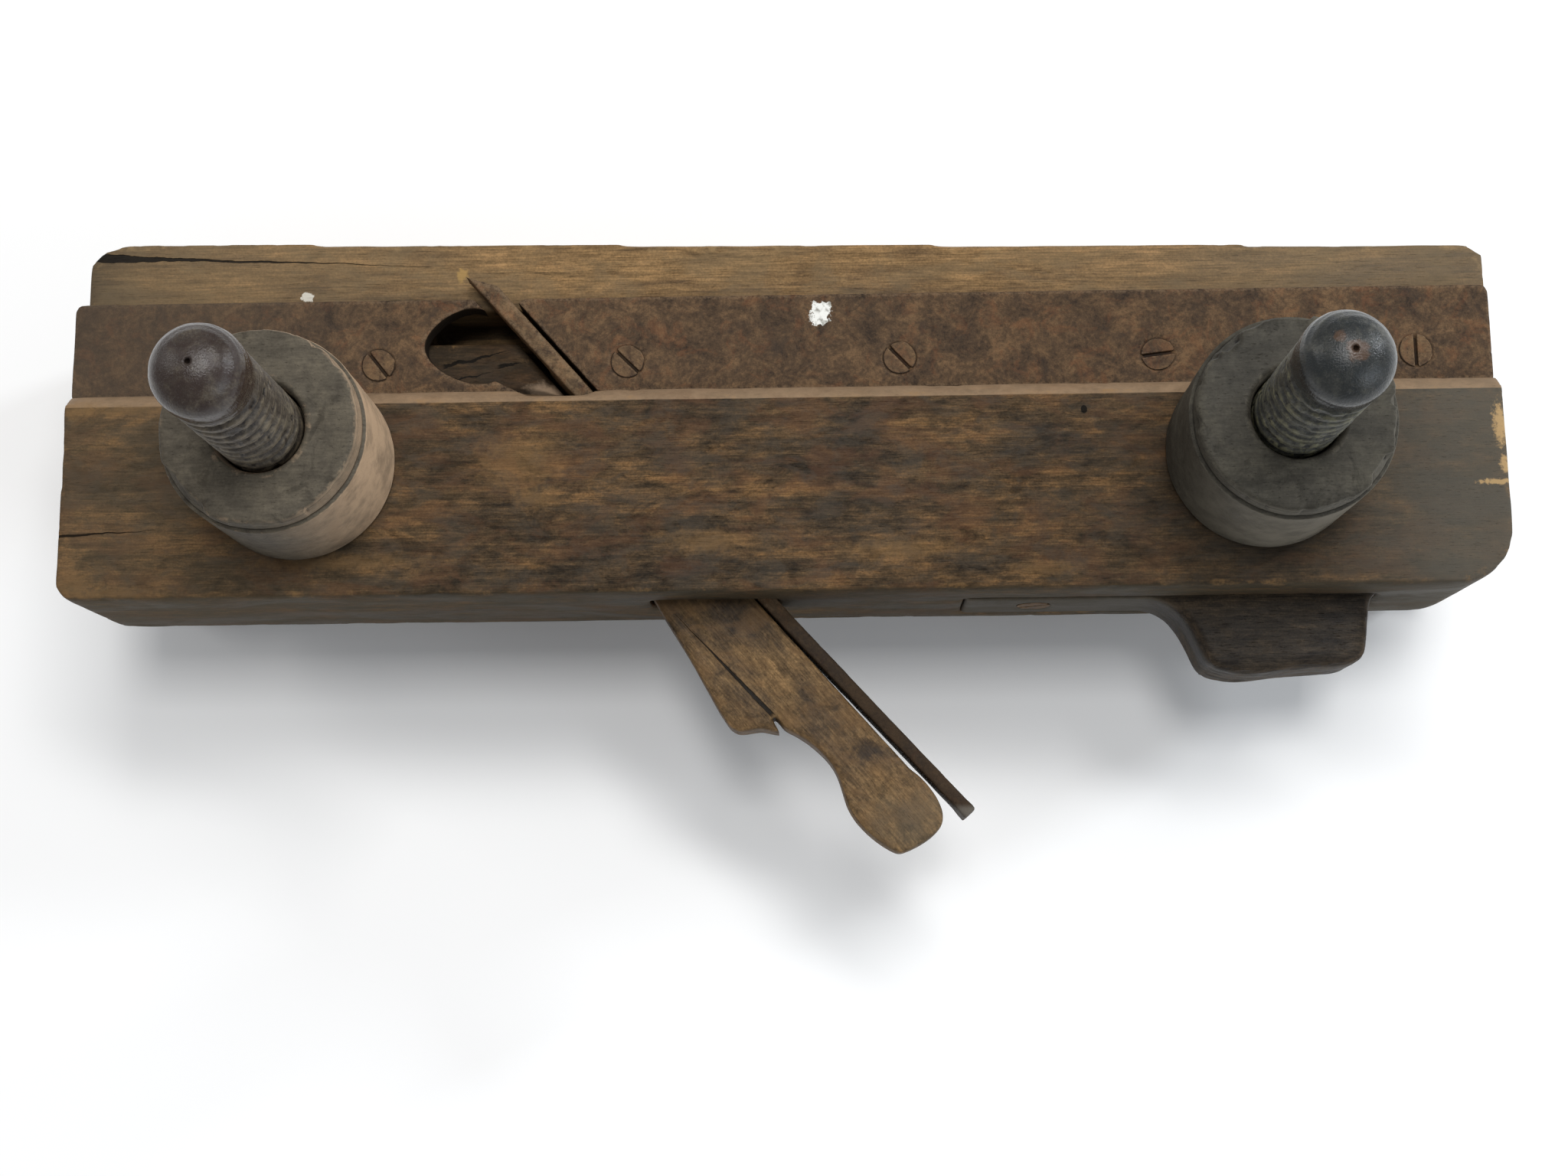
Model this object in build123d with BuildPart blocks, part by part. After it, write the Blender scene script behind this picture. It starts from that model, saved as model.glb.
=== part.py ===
"""Handled screw-arm match plane, lying on its fence.

Frame: X runs from toe (-X) to heel (+X), +Y points to the sole, +Z to the right side
of the stock. The outer face of the fence rests on Z = 0 and the arm axes lie on Y = 0.
"""
from build123d import *
from math import cos, radians, sin, tan
import os

# ---- stock -------------------------------------------------------------------
stock_length = 279.0
stock_thickness = 34.0
top_y = -25.9            # top face, where wedge and handle enter
shoulder_y = 15.5        # underside of the thick upper part
sole_y = 27.5            # wood sole
chamfer_y = 3.4
chamfer_z = 2.7
toe_round = 4.0
heel_round = 11.0

# ---- fence and arms ----------------------------------------------------------
fence_board = 18.0       # thickness of the board that holds the arms
fence_gap = 12.0         # room for the inner nuts when the fence is closed
fence_low_y = -16.0
fence_toe_y = 49.6       # depth of the ledge at the toe
fence_heel_y = 45.3      # and at the heel, worn thinner
ledge_clearance = 0.8
relief_toe = -70.0
relief_width = 6.0
relief_depth = 12.0
arm_x = 92.5
arm_radius = 8.1
arm_tenon_radius = 6.5
toe_arm_reach = 70.4     # beyond the right side of the stock
heel_arm_reach = 68.2
arm_dome = 6.0
arm_hole_radius = 8.45
nut_radius = 18.2        # at the front face
nut_back_radius = 18.8
nut_bore_radius = 8.15
nut_rim = 1.2
groove_depth = 0.7
groove_share = 0.865     # place of the turned groove, from the back of an outer nut
outer_nut_length = 30.0
inner_nut_length = 10.4
face_clearance = 0.05

# ---- skate -------------------------------------------------------------------
skate_step = 6.0         # right face of the skate below the right side of the stock
skate_thickness = 4.5
skate_edge_y = 35.1
skate_corner = 2.0
skate_overrun = 0.3      # the plates stand out beyond the ends of the stock
fence_heel_overrun = 1.5
screw_head_radius = 3.5
screw_shank_radius = 1.8
screw_length = 16.0
screw_y = 21.6
screw_slot = 0.6
front_screw_places = [(-118.0, 20.0), (-79.0, -52.0)]
rear_screw_places = [(-29.8, -45.0), (23.8, -47.0), (74.4, 7.0), (124.8, 90.0)]

# ---- iron and wedge ----------------------------------------------------------
bed_angle = 49.0
bed_x = -36.3            # bed line where it crosses the shoulder
iron_tip = 35.3          # below the shoulder, measured along the bed
iron_bevel = 29.5
iron_top = 110.0
iron_thickness = 3.45
iron_taper = 0.0069
blade_end = 11.0         # the blade is as thin as the skate from here to the tip
body_end = 12.0
mortise_near = 10.0      # near wall of the mortise below the right side
mortise_width = 9.0
side_clearance = 0.3
pocket_top_y = -4.0      # top of the pocket for the wide body of the iron
throat_y = 4.0           # below the tip of the wedge the front wall turns towards the mouth
mouth_gap = 5.5          # from bed to front wall, along the sole
escape_toe = -50.5
escape_y = 13.3          # the dip starts here on the right side of the stock
escape_low_y = 14.7      # and ends here, level with the skate
wedge_front_angle = 60.6
wedge_front_x = -24.7    # front of the wedge where it crosses the top face

# ---- handle ------------------------------------------------------------------
tongue_x = 36.0
handle_end_x = 116.0
handle_near = 12.5
handle_width = 16.0
tongue_depth = 6.0
handle_screw_x = 50.0

stock_back = fence_board + fence_gap
stock_front = stock_back + stock_thickness
skate_front = stock_front - skate_step
skate_back = skate_front - skate_thickness
half = stock_length / 2


def bed_at(y):
    """X of the bed line at height y."""
    return bed_x - (y - shoulder_y) / tan(radians(bed_angle))


def on_bed(along, off):
    """Point at a distance up the bed from the shoulder, and off it towards the toe."""
    a = radians(bed_angle)
    return (bed_x + along * cos(a) - off * sin(a), shoulder_y - along * sin(a) - off * cos(a))


def iron_front(along):
    return iron_thickness - iron_taper * along


def wedge_front(y, gap=0.0):
    """X of the front of the wedge, or of the mortise wall a gap ahead of it."""
    return wedge_front_x - gap - (y - top_y) / tan(radians(wedge_front_angle))


os.makedirs("parts", exist_ok=True)


# ---- stock: beech body with rebate, mortise, arm holes and handle housing -----
def slanted_cut(low_y, z, height):
    """The space between bed and front wall, from low_y out through the sole.

    The front wall follows the wedge, then runs down to a narrow mouth ahead of the iron.
    """
    out_y = sole_y + 1.0
    with BuildSketch(Plane.XY.offset(z)) as space:
        with BuildLine():
            Polyline(
                (bed_at(low_y), low_y),
                (bed_at(out_y), out_y),
                (bed_at(out_y) - mouth_gap, out_y),
                (bed_at(shoulder_y) - mouth_gap, shoulder_y),
                (wedge_front(throat_y, side_clearance), throat_y),
                (wedge_front(low_y, side_clearance), low_y),
                close=True,
            )
        make_face()
    extrude(space.sketch, amount=height, mode=Mode.SUBTRACT)


with BuildPart() as stock:
    with BuildSketch(Plane.XY.offset(stock_back)):
        with BuildLine():
            Polyline((-half, top_y), (half, top_y), (half, sole_y), (-half, sole_y), close=True)
        make_face()
    extrude(amount=stock_thickness)
    fillet(stock.edges().filter_by(Axis.Z).group_by(Axis.Y)[0].sort_by(Axis.X)[0], toe_round)
    fillet(stock.edges().filter_by(Axis.Z).group_by(Axis.Y)[0].sort_by(Axis.X)[-1], heel_round)
    # rebate for the skate, along the whole sole on the right side
    with BuildSketch(Plane.YZ.offset(-half)):
        with Locations((shoulder_y, skate_back)):
            Rectangle(sole_y, stock_thickness, align=(Align.MIN, Align.MIN))
    extrude(amount=stock_length, mode=Mode.SUBTRACT)
    shoulder_arris = stock.edges().filter_by(Axis.X).group_by(Axis.Z)[-1].sort_by(Axis.Y)[-1]
    chamfer(shoulder_arris, chamfer_z, chamfer_y)
    # mortise right through, then the wider pocket for the body of the iron
    slanted_cut(top_y - 1, stock_front - mortise_near - mortise_width, mortise_width)
    pocket_floor = stock_front - mortise_near - 1
    slanted_cut(pocket_top_y, pocket_floor, skate_front + side_clearance - pocket_floor)
    # escapement: the shoulder dips beside the iron to let shavings out
    with BuildSketch(Plane.YZ.offset(escape_toe)):
        with BuildLine():
            Polyline(
                (escape_y, stock_front),
                (shoulder_y + 1, stock_front),
                (shoulder_y + 1, skate_front),
                (escape_low_y, skate_front),
                close=True,
            )
        make_face()
    extrude(amount=bed_x - escape_toe, mode=Mode.SUBTRACT)
    with Locations((-arm_x, 0, stock_back), (arm_x, 0, stock_back)):
        Cylinder(arm_hole_radius, 2 * stock_thickness + 2, mode=Mode.SUBTRACT)
    # housing for the handle tongue
    with BuildSketch(Plane.XY.offset(stock_front - handle_near)):
        with Locations((tongue_x, top_y - 1)):
            Rectangle(handle_end_x - tongue_x, tongue_depth + 1, align=(Align.MIN, Align.MIN))
    extrude(amount=-handle_width, mode=Mode.SUBTRACT)
    # pilot holes
    with Locations([(x, screw_y, skate_back) for x, _ in front_screw_places + rear_screw_places]):
        Cylinder(screw_shank_radius, 2 * (screw_length - skate_thickness), mode=Mode.SUBTRACT)
    handle_screw_z = stock_front - handle_near - handle_width / 2
    with BuildSketch(Plane.XZ.offset(-top_y)):
        with Locations((handle_screw_x, handle_screw_z)):
            Circle(screw_shank_radius)
    extrude(amount=-(screw_length + tongue_depth), mode=Mode.SUBTRACT)
stock.part.label = "stock"
export_step(stock.part, "parts/stock.step")


# ---- skate: two steel plates, parted by the iron ------------------------------
def countersunk_holes(places):
    with Locations([(x, screw_y, skate_front) for x, _ in places]):
        CounterSinkHole(screw_shank_radius, screw_head_radius, skate_thickness, 90)


plate_top_y = shoulder_y + 0.1
with BuildPart() as front_skate:
    with BuildSketch(Plane.XY.offset(skate_back)):
        with BuildLine():
            Polyline(
                (escape_toe, plate_top_y),
                (-half - skate_overrun, plate_top_y),
                (-half - skate_overrun, skate_edge_y),
                (-60.4, skate_edge_y),
            )
            Line((-60.4, skate_edge_y), (-57.9, 32.3))
            Spline((-57.9, 32.3), (-66.3, 30.6), (-69.8, 25.2), (-65.2, 19.6), (-55.9, 18.3))
            Line((-55.9, 18.3), (escape_toe, plate_top_y))
        make_face()
    extrude(amount=skate_thickness)
    toe_corner = front_skate.edges().filter_by(Axis.Z).group_by(Axis.X)[0].sort_by(Axis.Y)[-1]
    fillet(toe_corner, skate_corner)
    countersunk_holes(front_screw_places)
front_skate.part.label = "front_skate"
export_step(front_skate.part, "parts/front_skate.step")

bed_relief = 0.7
with BuildPart() as rear_skate:
    with BuildSketch(Plane.XY.offset(skate_back)):
        with BuildLine():
            Polyline(
                (bed_at(plate_top_y) + bed_relief, plate_top_y),
                (half + skate_overrun, plate_top_y),
                (half + skate_overrun, skate_edge_y),
                (bed_at(34.2) + 2.4, skate_edge_y),
                (bed_at(34.2) + bed_relief, 34.2),
                close=True,
            )
        make_face()
    extrude(amount=skate_thickness)
    heel_corner = rear_skate.edges().filter_by(Axis.Z).group_by(Axis.X)[-1].sort_by(Axis.Y)[-1]
    fillet(heel_corner, skate_corner)
    countersunk_holes(rear_screw_places)
rear_skate.part.label = "rear_skate"
export_step(rear_skate.part, "parts/rear_skate.step")


# ---- screws ------------------------------------------------------------------
def wood_screw(turn, label):
    """Countersunk wood screw, its slotted head flush with Z = 0."""
    neck = screw_head_radius - screw_shank_radius
    with BuildPart() as screw:
        with BuildSketch(Plane.XZ):
            with BuildLine():
                Polyline(
                    (0, 0),
                    (screw_head_radius - 0.1, 0),
                    (screw_head_radius - 0.1, -0.1),
                    (screw_shank_radius, -neck),
                    (screw_shank_radius, 3.0 - screw_length),
                    (0, -screw_length),
                    close=True,
                )
            make_face()
        revolve(axis=Axis.Z)
        with BuildSketch(Plane.XY):
            Rectangle(4 * screw_head_radius, screw_slot, rotation=turn)
        extrude(amount=-screw_slot, mode=Mode.SUBTRACT)
    screw.part.label = label
    return screw.part


for number, (x, turn) in enumerate(front_screw_places + rear_screw_places, start=1):
    seat = Plane(origin=(x, screw_y, skate_front))
    label = f"skate_screw_{number}"
    export_step(wood_screw(turn, label).moved(Location(seat)), f"parts/{label}.step")

handle_seat = Plane(origin=(handle_screw_x, top_y, handle_screw_z), x_dir=(1, 0, 0), z_dir=(0, -1, 0))
handle_screw = wood_screw(30.0, "handle_screw").moved(Location(handle_seat))
export_step(handle_screw, "parts/handle_screw.step")


# ---- fence: board that holds the arms, and a ledge that reaches the skate -----
with BuildPart() as fence:
    with BuildSketch(Plane.XY):
        with BuildLine():
            Polyline(
                (-half + 0.2, fence_low_y),
                (half + fence_heel_overrun, fence_low_y),
                (half + fence_heel_overrun, fence_heel_y - 2.0),
                (half - 2.0, fence_heel_y),
                (-half + 8.0, fence_toe_y),
                (-half + 2.0, fence_toe_y - 2.0),
                (-half + 0.2, fence_toe_y - 5.0),
                close=True,
            )
        make_face()
    extrude(amount=skate_back - 0.5)
    with BuildSketch(Plane.YZ.offset(-half)):
        with Locations((sole_y + ledge_clearance, fence_board)):
            Rectangle(sole_y - 2 * fence_low_y, 2 * stock_thickness, align=(Align.MAX, Align.MIN))
    extrude(amount=stock_length + 2 * fence_heel_overrun, mode=Mode.SUBTRACT)
    fillet(fence.edges().filter_by(Axis.X).group_by(Axis.Y)[0], 3.0)
    # hollow in the ledge that lets shavings fall clear of the mouth
    with BuildSketch(Plane.XY.offset(skate_back - relief_depth)):
        with Locations(((bed_at(sole_y) + relief_toe) / 2, sole_y)):
            Rectangle(bed_at(sole_y) - relief_toe, 2 * relief_width)
    extrude(amount=relief_depth, mode=Mode.SUBTRACT)
    with Locations((-arm_x, 0, 0), (arm_x, 0, 0)):
        Cylinder(arm_tenon_radius, 3 * fence_board, mode=Mode.SUBTRACT)
fence.part.label = "fence"
export_step(fence.part, "parts/fence.step")


# ---- screw arms: tenon in the fence, threaded shank, domed tip ----------------
def screw_arm(x, reach, label):
    tip = stock_front + reach
    with BuildPart() as arm:
        with BuildSketch(Plane.XZ):
            with BuildLine():
                Polyline(
                    (0, tip),
                    (0, 0),
                    (arm_tenon_radius, 0),
                    (arm_tenon_radius, fence_board),
                    (arm_radius, fence_board),
                    (arm_radius, tip - arm_dome),
                )
                EllipticalCenterArc((0, tip - arm_dome), arm_radius, arm_dome, start_angle=0, arc_size=90)
            make_face()
        revolve(axis=Axis.Z)
        with Locations((0, 0, tip)):
            Cone(0, 0.6, 2.4, align=(Align.CENTER, Align.CENTER, Align.CENTER), mode=Mode.SUBTRACT)
    arm.part.label = label
    export_step(arm.part.moved(Location((x, 0, 0))), f"parts/{label}.step")


screw_arm(-arm_x, toe_arm_reach, "toe_arm")
screw_arm(arm_x, heel_arm_reach, "heel_arm")


# ---- nuts --------------------------------------------------------------------
def outer_nut(x, label):
    """Thick turned nut: a rim at the front, a turned groove, and a slightly larger back."""
    groove_z = groove_share * outer_nut_length
    with BuildPart() as ring:
        with BuildSketch(Plane.XZ) as section:
            with BuildLine():
                Polyline(
                    (nut_bore_radius, 0),
                    (nut_back_radius, 0),
                    (nut_back_radius, groove_z - groove_depth / 2),
                    (nut_radius - groove_depth, groove_z),
                    (nut_radius, groove_z + groove_depth / 2),
                    (nut_radius, outer_nut_length),
                    (nut_bore_radius, outer_nut_length),
                    close=True,
                )
            make_face()
            fillet(section.vertices().group_by(Axis.Y)[-1].sort_by(Axis.X)[-1], nut_rim)
            fillet(section.vertices().group_by(Axis.Y)[0].sort_by(Axis.X)[-1], nut_rim)
        revolve(axis=Axis.Z)
    ring.part.label = label
    place = Location((x, 0, stock_front + face_clearance))
    export_step(ring.part.moved(place), f"parts/{label}.step")


def inner_nut(x, label):
    """Thin nut between the stock and the fence."""
    with BuildPart() as ring:
        Cylinder(nut_radius, inner_nut_length, align=(Align.CENTER, Align.CENTER, Align.MAX))
        fillet(ring.edges().filter_by(GeomType.CIRCLE), nut_rim)
        Cylinder(nut_bore_radius, 3 * inner_nut_length, mode=Mode.SUBTRACT)
    ring.part.label = label
    place = Location((x, 0, stock_back - face_clearance))
    export_step(ring.part.moved(place), f"parts/{label}.step")


for end, x in (("toe", -arm_x), ("heel", arm_x)):
    outer_nut(x, f"{end}_outer_nut")
    inner_nut(x, f"{end}_inner_nut")


# ---- iron: thin blade, wide body, tapering tang -------------------------------
tang_low = stock_front - mortise_near - mortise_width + side_clearance
tang_high = stock_front - mortise_near - side_clearance
blade_low = skate_back - 0.1
blade_high = skate_front + 0.1


def iron_span(points, low, high):
    with BuildSketch(Plane.XY.offset(low)) as span:
        with BuildLine():
            Polyline(*[on_bed(along, off) for along, off in points], close=True)
        make_face()
    extrude(span.sketch, amount=high - low)


with BuildPart() as iron:
    blade = [
        (-iron_tip, iron_front(-iron_tip)),
        (-iron_bevel, 0.0),
        (-blade_end, 0.0),
        (-blade_end, iron_front(-blade_end)),
    ]
    iron_span(blade, blade_low, blade_high)
    body = [
        (-blade_end, 0.0),
        (body_end, 0.0),
        (body_end, iron_front(body_end)),
        (-blade_end, iron_front(-blade_end)),
    ]
    iron_span(body, tang_low, blade_high)
    tang = [
        (body_end, 0.0),
        (60.0, 0.0),
        (iron_top, -1.3),
        (iron_top, 1.4),
        (60.0, iron_front(60.0)),
        (body_end, iron_front(body_end)),
    ]
    iron_span(tang, tang_low, tang_high)
iron.part.label = "iron"
export_step(iron.part, "parts/iron.step")


# ---- wedge: split along the grain, with a rounded finial ----------------------
wedge_gap = 0.25
wedge_low_y = 2.0
with BuildPart() as wedge:
    with BuildSketch(Plane.XY.offset(tang_low)):
        with BuildLine():
            Polyline(
                on_bed(96.0, 2.9),
                on_bed(82.0, 3.0),
                on_bed(4.0, iron_front(4.0) + wedge_gap),
                (wedge_front(wedge_low_y), wedge_low_y),
                (wedge_front(top_y), top_y),
                (-18.5, -36.1),
                (-12.5, -47.0),
            )
            # the piece that split off the front, and the open crack behind it
            Polyline((-12.5, -47.0), (-10.3, -50.4), (-8.6, -51.5), (-4.2, -50.8), (-0.4, -51.7))
            Polyline((-0.4, -51.7), (-2.5, -48.0), (-9.7, -40.5), (-16.5, -33.2))
            Polyline((-16.5, -33.2), (-9.4, -40.3), (-2.1, -47.7), (0.3, -50.8))
            # neck and rounded head
            Spline((0.3, -50.8), (6.0, -54.4), (10.1, -59.4), (12.4, -66.2), (16.4, -71.4), (22.0, -75.0))
            Spline((22.0, -75.0), (27.6, -72.4), (30.5, -69.0), (29.6, -64.6), on_bed(96.0, 2.9))
        make_face()
    extrude(amount=tang_high - tang_low)
wedge.part.label = "wedge"
export_step(wedge.part, "parts/wedge.step")


# ---- handle: what is left of it, a tongue let into the stock and a broken stump
with BuildPart() as handle:
    with BuildSketch(Plane.XY.offset(stock_front - handle_near)):
        with BuildLine():
            Polyline(
                (72.0, top_y),
                (tongue_x, top_y),
                (tongue_x, top_y + tongue_depth),
                (handle_end_x, top_y + tongue_depth),
                (handle_end_x, top_y),
                (115.0, top_y),
                (113.6, -37.4),
            )
            Spline((113.6, -37.4), (112.2, -38.8), (104.0, -40.0), (90.0, -41.2), (83.1, -39.8))
            Spline((83.1, -39.8), (80.2, -33.2), (77.3, -28.7), (72.0, top_y))
        make_face()
    extrude(amount=-handle_width)
    with BuildSketch(Plane.XZ.offset(-top_y)):
        with Locations((handle_screw_x, handle_screw_z)):
            Circle(screw_shank_radius)
    extrude(amount=-2 * tongue_depth, mode=Mode.SUBTRACT)
    with Locations(Location(Plane(origin=(handle_screw_x, top_y, handle_screw_z), z_dir=(0, 1, 0)))):
        Cone(
            screw_head_radius,
            screw_shank_radius,
            screw_head_radius - screw_shank_radius,
            align=(Align.CENTER, Align.CENTER, Align.MIN),
            mode=Mode.SUBTRACT,
        )
handle.part.label = "handle"
export_step(handle.part, "parts/handle.step")
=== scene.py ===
"""Looks of the handled screw-arm grooving plane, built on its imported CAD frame.

Lengths are metres in the frame of the CAD: X from toe to heel, +Y to the sole, +Z along the arms.
"""
import math

import bpy
import numpy as np
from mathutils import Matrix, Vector


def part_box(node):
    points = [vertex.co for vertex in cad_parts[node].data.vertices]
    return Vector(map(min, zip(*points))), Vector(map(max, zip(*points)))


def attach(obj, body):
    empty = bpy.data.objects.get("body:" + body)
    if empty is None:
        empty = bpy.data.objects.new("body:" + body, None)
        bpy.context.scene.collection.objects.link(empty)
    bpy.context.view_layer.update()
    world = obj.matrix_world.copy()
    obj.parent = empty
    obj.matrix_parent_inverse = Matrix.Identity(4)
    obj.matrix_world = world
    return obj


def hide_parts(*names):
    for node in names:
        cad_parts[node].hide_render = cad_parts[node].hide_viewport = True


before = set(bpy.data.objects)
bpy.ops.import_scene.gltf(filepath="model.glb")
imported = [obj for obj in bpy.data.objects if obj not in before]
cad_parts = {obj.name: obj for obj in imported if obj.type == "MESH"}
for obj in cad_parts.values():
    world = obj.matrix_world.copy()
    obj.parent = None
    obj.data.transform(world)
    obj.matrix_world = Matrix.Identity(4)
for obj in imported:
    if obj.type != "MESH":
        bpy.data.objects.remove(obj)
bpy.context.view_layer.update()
MM = 0.001

# ---- places read from the frame ------------------------------------------------
stock_low, stock_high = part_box("stock")
fence_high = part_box("fence")[1]
skate_low, skate_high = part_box("rear_skate")
wedge_low, wedge_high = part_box("wedge")
iron_low, iron_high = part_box("iron")
TOE = stock_low.x
HEEL = stock_high.x
FACE = stock_high.z
TOP = stock_low.y
SHOULDER = skate_low.y
SKATE_EDGE = skate_high.y

# ---- sizes of the real pieces ----------------------------------------------------
BED_ANGLE = math.radians(49)
SKATE_FACE = FACE - 6 * MM  # right face of the skate, below the right side of the stock
THROAT_TOE = -72 * MM  # the cut for shavings in the front skate lies between these
THROAT_HEEL = -36 * MM
ARM_SHOULDER = 18 * MM  # an arm is thinner below this, where it is glued in the fence
ARM_TENON = 6.5 * MM  # radius there
ARM_DOME = 6 * MM
PITCH = 3.6 * MM
THREAD_DEPTH = 0.95 * MM
NUT_BORE = 8.15 * MM  # radius
NUT_RIM = 1.2 * MM  # rounding at each end
NUT_SET_BACK = 0.6 * MM  # in front of its groove an outer nut is this much smaller
GROOVE_DEPTH = 0.6 * MM
GROOVE_SHARE = 0.865  # place of the groove, from the back of the nut

# enough for smooth outlines, and each piece stays under 200,000 triangles
ARM_SEGMENTS = 150
NUT_SEGMENTS = 340


def srgb(red, green, blue):
    """Linear colour from screen values of 0 to 255."""
    shares = (red / 255, green / 255, blue / 255)
    return tuple(v / 12.92 if v < 0.0404 else ((v + 0.055) / 1.055) ** 2.4 for v in shares)


# ---- repeatable noise on points --------------------------------------------------
# multipliers that scramble the place of a lattice corner and the seed
HASH_PLACE = (73856093, 19349663, 83492791)
HASH_SEED = 2654435
HASH_MIX = 1274126177


def lattice(cells, seed):
    """A fixed number from -1 to 1 for each corner of the noise lattice."""
    mixed = seed * HASH_SEED
    for axis, multiplier in enumerate(HASH_PLACE):
        mixed = mixed ^ (cells[:, axis] * multiplier)
    mixed = (mixed ^ (mixed >> 13)) * HASH_MIX
    return ((mixed ^ (mixed >> 16)) & 0xFFFF) / 32767.5 - 1.0


def noise(points, cell, seed=0, octaves=1):
    """Smooth noise from -1 to 1, its features about one cell across."""
    total = np.zeros(len(points))
    for octave in range(octaves):
        place = points / np.asarray(cell) * 2.0**octave
        base = np.floor(place).astype(np.int64)
        part = place - base
        part = part * part * (3 - 2 * part)
        for corner in np.ndindex(2, 2, 2):
            share = np.prod(np.where(corner, part, 1 - part), axis=1)
            total += share * lattice(base + corner, seed + octave) / 2.0**octave
    return total / (2 - 0.5 ** (octaves - 1))


def ease(value, low, high):
    """Smooth step from 0 at low to 1 at high."""
    part = np.clip((value - low) / (high - low), 0, 1)
    return part * part * (3 - 2 * part)


# ---- meshes --------------------------------------------------------------------
def read_points(mesh):
    values = np.empty(len(mesh.vertices) * 3, np.float32)
    mesh.vertices.foreach_get("co", values)
    return values.reshape(-1, 3).astype(float)


def point_normals(mesh):
    values = np.empty(len(mesh.vertices) * 3, np.float32)
    mesh.vertex_normals.foreach_get("vector", values)
    return values.reshape(-1, 3).astype(float)


def write_points(mesh, points):
    mesh.vertices.foreach_set("co", points.astype(np.float32).ravel())
    mesh.update()


def write_mask(mesh, name, values):
    layer = mesh.attributes.get(name) or mesh.attributes.new(name, "FLOAT", "POINT")
    layer.data.foreach_set("value", values.astype(np.float32))


def relaxed(points, pairs, rounds):
    """The points after each has moved to the middle of its neighbours a few times."""
    count = np.bincount(pairs.ravel(), minlength=len(points))
    for _ in range(rounds):
        moved = np.empty_like(points)
        for axis in range(3):
            column = points[:, axis]
            total = np.bincount(pairs[:, 0], column[pairs[:, 1]], len(points))
            total += np.bincount(pairs[:, 1], column[pairs[:, 0]], len(points))
            moved[:, axis] = total / np.maximum(count, 1)
        points = moved
    return points


def edge_pairs(mesh):
    """The two points of each edge."""
    pairs = np.empty(len(mesh.edges) * 2, np.int32)
    mesh.edges.foreach_get("vertices", pairs)
    return pairs.reshape(-1, 2)


def write_relief(mesh, points, pairs, rounds, size, gain):
    """Masks: edge is how much a point stands out, hollow how much it lies in a corner."""
    out = points - relaxed(points, pairs, rounds)
    lift = np.einsum("ij,ij->i", out, point_normals(mesh)) / size
    write_mask(mesh, "edge", np.clip(lift * gain, 0, 1))
    write_mask(mesh, "hollow", np.clip(-lift * gain, 0, 1))


def shade_smooth(mesh):
    mesh.polygons.foreach_set("use_smooth", np.ones(len(mesh.polygons), bool))


def dense_copy(node, name, voxel, rounding=2):
    """An even, dense copy of a CAD node with softened arrises and relief masks."""
    piece = bpy.data.objects.new(name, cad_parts[node].data.copy())
    bpy.context.scene.collection.objects.link(piece)
    even = piece.modifiers.new("even", "REMESH")
    even.mode = "VOXEL"
    even.voxel_size = voxel
    bpy.context.view_layer.update()
    evaluated = piece.evaluated_get(bpy.context.evaluated_depsgraph_get())
    mesh = bpy.data.meshes.new_from_object(evaluated)
    piece.modifiers.clear()
    piece.data = mesh
    mesh.name = name
    mesh.materials.clear()
    pairs = edge_pairs(mesh)
    points = relaxed(read_points(mesh), pairs, rounding)
    write_points(mesh, points)
    write_relief(mesh, points, pairs, 10, voxel, 2.2)
    shade_smooth(mesh)
    return piece


def mask_of(mesh, name):
    values = np.empty(len(mesh.vertices), np.float32)
    mesh.attributes[name].data.foreach_get("value", values)
    return values.astype(float)


def wear_down(piece, dents, arris, chip, cell, seed):
    """Uneven surface, worn arrises and small chips along them, each to its greatest depth."""
    mesh = piece.data
    points = read_points(mesh)
    normals = point_normals(mesh)
    edge = mask_of(mesh, "edge")
    depth = dents * (0.5 + 0.5 * noise(points, cell, seed, 3))
    depth += arris * edge * (0.6 + 0.4 * noise(points, cell * 0.6, seed + 5, 2))
    depth += chip * ease(edge, 0.1, 0.6) * ease(noise(points, cell * 0.35, seed + 9, 3), 0.25, 0.5)
    write_points(mesh, points - normals * depth[:, None])


def lathe(name, profile, segments, centre, shape=None):
    """A closed ring of quads turned about a vertical axis.

    Profile is a closed loop of (radius, height). Shape may change both, given the angle too.
    """
    profile = np.asarray(profile)
    angle = np.arange(segments) * (2 * math.pi / segments)
    radius, turn = np.meshgrid(profile[:, 0], angle)
    height, _ = np.meshgrid(profile[:, 1], angle)
    if shape:
        radius, height = shape(radius, height, turn)
    points = np.stack([radius * np.cos(turn), radius * np.sin(turn), height], axis=-1)
    points = points.reshape(-1, 3) + np.array(centre)
    rows = len(profile)
    here = np.arange(segments)[:, None] * rows + np.arange(rows)[None, :]
    right = np.roll(here, -1, axis=0)
    faces = np.stack([here, right, np.roll(right, -1, axis=1), np.roll(here, -1, axis=1)], axis=-1)
    mesh = bpy.data.meshes.new(name)
    mesh.from_pydata(points.tolist(), [], faces.reshape(-1, 4).tolist())
    shade_smooth(mesh)
    piece = bpy.data.objects.new(name, mesh)
    bpy.context.scene.collection.objects.link(piece)
    return piece


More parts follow.
